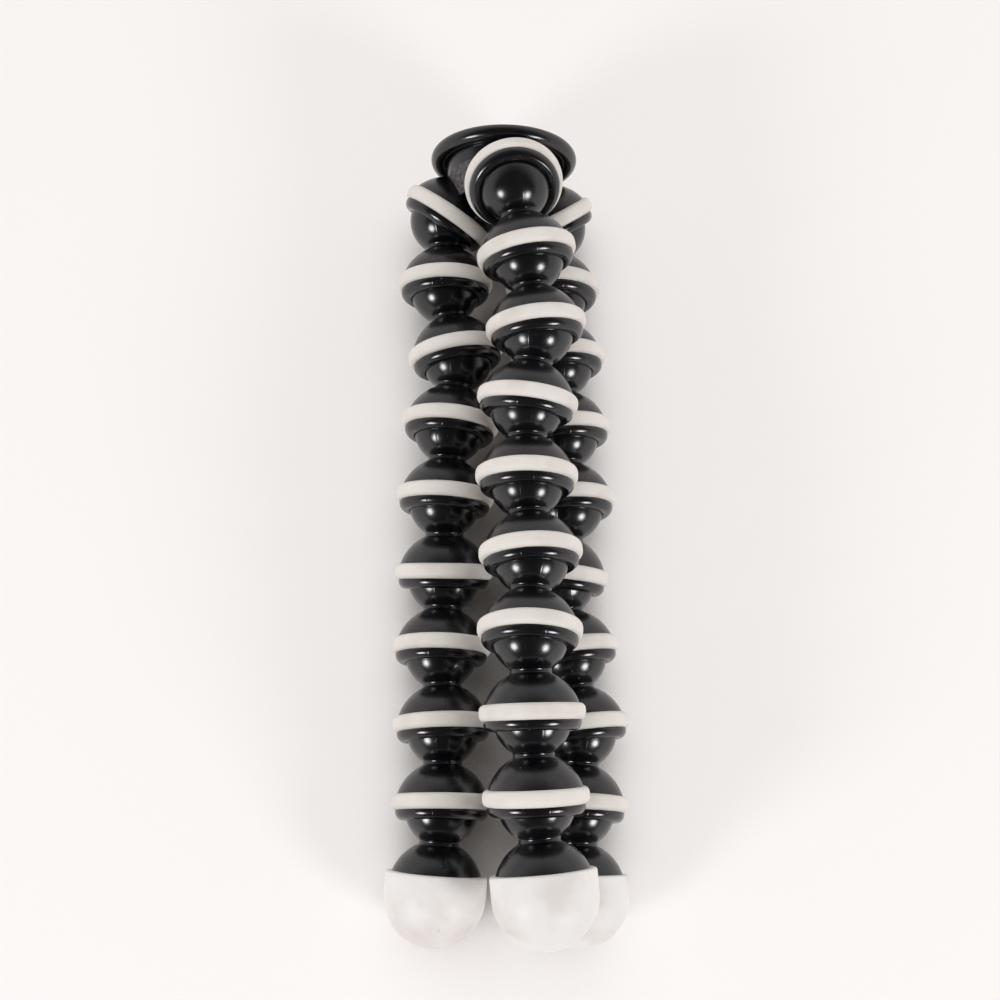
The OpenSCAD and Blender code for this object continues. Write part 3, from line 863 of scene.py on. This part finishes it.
firstBalls = [joints[f"{leg}_ball_1"] for leg in legs]
hubMiddle = sum(firstBalls, Vector()) / len(firstBalls)
hubSpot = {"Place": tuple(hubMiddle), "Turn": (-quarterTurn, 0.0, 0.0)}
hub = bake("hub_shell", makeHubTree(), {**hubSpot, "Material": blackPlastic})
settle(hub, "head", "black_plastic", "hub")
hubBands = bake("hub_ring_bands", makeHubRingTree(), {**hubSpot, "Material": gripRubber})
settle(hubBands, "head", "grip_rubber", "hub_rings")
plate = bake("plate_moulding", makePlateTree(), {**hubSpot, "Material": blackPlastic})
settle(plate, "head", "black_plastic", "camera_plate")
pad = bake("pad_ribs", makePadTree(), {**hubSpot, "Material": padRubber})
settle(pad, "head", "pad_rubber", "plate_pad")
stud = bake("stud_thread", makeStudTree(), {**hubSpot, "Material": screwSteel})
settle(stud, "head", "screw_steel", "camera_screw")
hubScrew = bake("hub_screw_head", makeHubScrewTree(), {**hubSpot, "Material": screwSteel})
settle(hubScrew, "head", "screw_steel", "hub_screw")
print("head: hub, rings, plate, pad and screws")


# Stage, lamps and camera

stage = {
    "floorColour": (0.93, 0.897, 0.883, 1), "threadColour": (0.885, 0.855, 0.84, 1),
    # the next colour is painted shade, laid on the floor where the legs close it in
    "paintedShadeColour": (0.30, 0.275, 0.255, 1), "paintedShadeSpan": (0.1, 0.6),
    "weaveScale": 900.0, "weaveSpan": (0.3, 0.7), "weaveShare": 0.25,
    "halfSide": 12.0, "cells": 8, "low": -0.0001,
    "glow": (0.955, 0.915, 0.90, 1), "glowShare": 0.5, "glowSpan": (0.3, 0.95),
    "glowReach": 0.05, "glowSamples": 8}
world = {
    "tint": (1.0, 0.99, 0.98, 1), "pale": 0.90, "dim": 0.08, "edgeFront": 0.08, "edgeBack": 0.75,
    "behindSpan": (0.1, 0.75), "wallLow": 0.4, "wallHigh": 1.3}
sideLamp = {"distance": 1.6, "size": 0.46, "power": 12.0, "gloss": True}
lamps = {
    "left": {"direction": (-0.70, -0.54, 0.46), **sideLamp},
    "right": {"direction": (0.66, -0.59, 0.47), **sideLamp},
    "top": {"direction": (0.0, 0.4, 1.0), "distance": 1.8, "size": 2.0, "power": 17.0, "gloss": False}}
view = {
    "place": (-0.0135, -0.1033, 0.4989), "turn": (13.1, -1.34, 0.35),
    "lens": 57.6, "sensor": 36.0, "near": 0.01}


def makeFloor():
    work = bmesh.new()
    bmesh.ops.create_grid(
        work, x_segments=stage["cells"], y_segments=stage["cells"], size=stage["halfSide"])
    for vertex in work.verts:
        vertex.co.z = stage["low"]
    mesh = bpy.data.meshes.new("floor")
    work.to_mesh(mesh)
    work.free()
    floor = bpy.data.objects.new("floor", mesh)
    scene.collection.objects.link(floor)
    material, root, place = newMaterial("paleFloor")
    weave = noise(root, place, stage["weaveScale"])
    openness = root.add("ShaderNodeAmbientOcclusion", {"samples": stage["glowSamples"]}, {
        "Distance": stage["glowReach"]}, "AO")
    threads = weave.step(*stage["weaveSpan"]) * stage["weaveShare"]
    colour = threads.blend(stage["floorColour"], stage["threadColour"])
    # painted shade: the floor colour turns dark and warm where ambient occlusion finds the legs close,
    # between and beside them
    colour = openness.step(*stage["paintedShadeSpan"]).blend(stage["paintedShadeColour"], colour)
    shader = root.add("ShaderNodeBsdfDiffuse", None, {"Color": colour})
    glow = root.add("ShaderNodeEmission", None, {"Color": stage["glow"], "Strength": 1.0})
    rays = root.add("ShaderNodeLightPath", None, None, "Is Camera Ray")
    seen = rays.most(rays.other("Is Glossy Ray")).most(rays.other("Is Transmission Ray"))
    share = seen * stage["glowShare"] * openness.step(*stage["glowSpan"])  # painted shade: no glow between the legs
    shader = root.add("ShaderNodeMixShader", None, {0: share, 1: shader, 2: glow})
    root.add("ShaderNodeOutputMaterial", None, {"Surface": shader})
    mesh.materials.append(material)


def makeWorld():  # pale walls low down, widest behind the head, and a dim ceiling
    sky = bpy.data.worlds.new("studio")
    scene.world = sky
    sky.use_nodes = True
    sky.node_tree.nodes.clear()
    root = Wire(sky.node_tree)
    heading = root.add("ShaderNodeTexCoord", None, None, "Generated")
    axes = root.add("ShaderNodeSeparateXYZ", None, {"Vector": heading})
    behind = (axes.other("Y") * 0.5 + 0.5).step(*world["behindSpan"])
    edge = world["edgeFront"] + behind * (world["edgeBack"] - world["edgeFront"])
    wall = 1.0 - axes.other("Z").step(edge * world["wallLow"], edge * world["wallHigh"])
    light = world["dim"] + wall * (world["pale"] - world["dim"])
    background = root.add("ShaderNodeBackground", None, {"Color": world["tint"], "Strength": light})
    root.add("ShaderNodeOutputWorld", None, {"Surface": background})


def makeLamp(name, look):
    data = bpy.data.lights.new(name, "AREA")
    data.shape = "DISK"
    data.size = look["size"]
    data.energy = look["power"]
    lamp = bpy.data.objects.new(name, data)
    aim = Vector(look["direction"]).normalized()
    lamp.location = aim * look["distance"]
    lamp.rotation_euler = aim.to_track_quat("Z", "Y").to_euler()
    lamp.visible_glossy = look["gloss"]
    scene.collection.objects.link(lamp)


def makeCamera():
    data = bpy.data.cameras.new("photoView")
    data.sensor_fit = "HORIZONTAL"
    data.sensor_width = view["sensor"]
    data.lens = view["lens"]
    data.clip_start = view["near"]
    camera = bpy.data.objects.new("photoView", data)
    camera.location = view["place"]
    camera.rotation_euler = tuple(math.radians(angle) for angle in view["turn"])
    scene.collection.objects.link(camera)
    scene.camera = camera


makeFloor()
makeWorld()
for lampName, lampLook in lamps.items():
    makeLamp(lampName + "Lamp", lampLook)
makeCamera()
print("stage: floor, world,", len(lamps), "lamps and the camera")
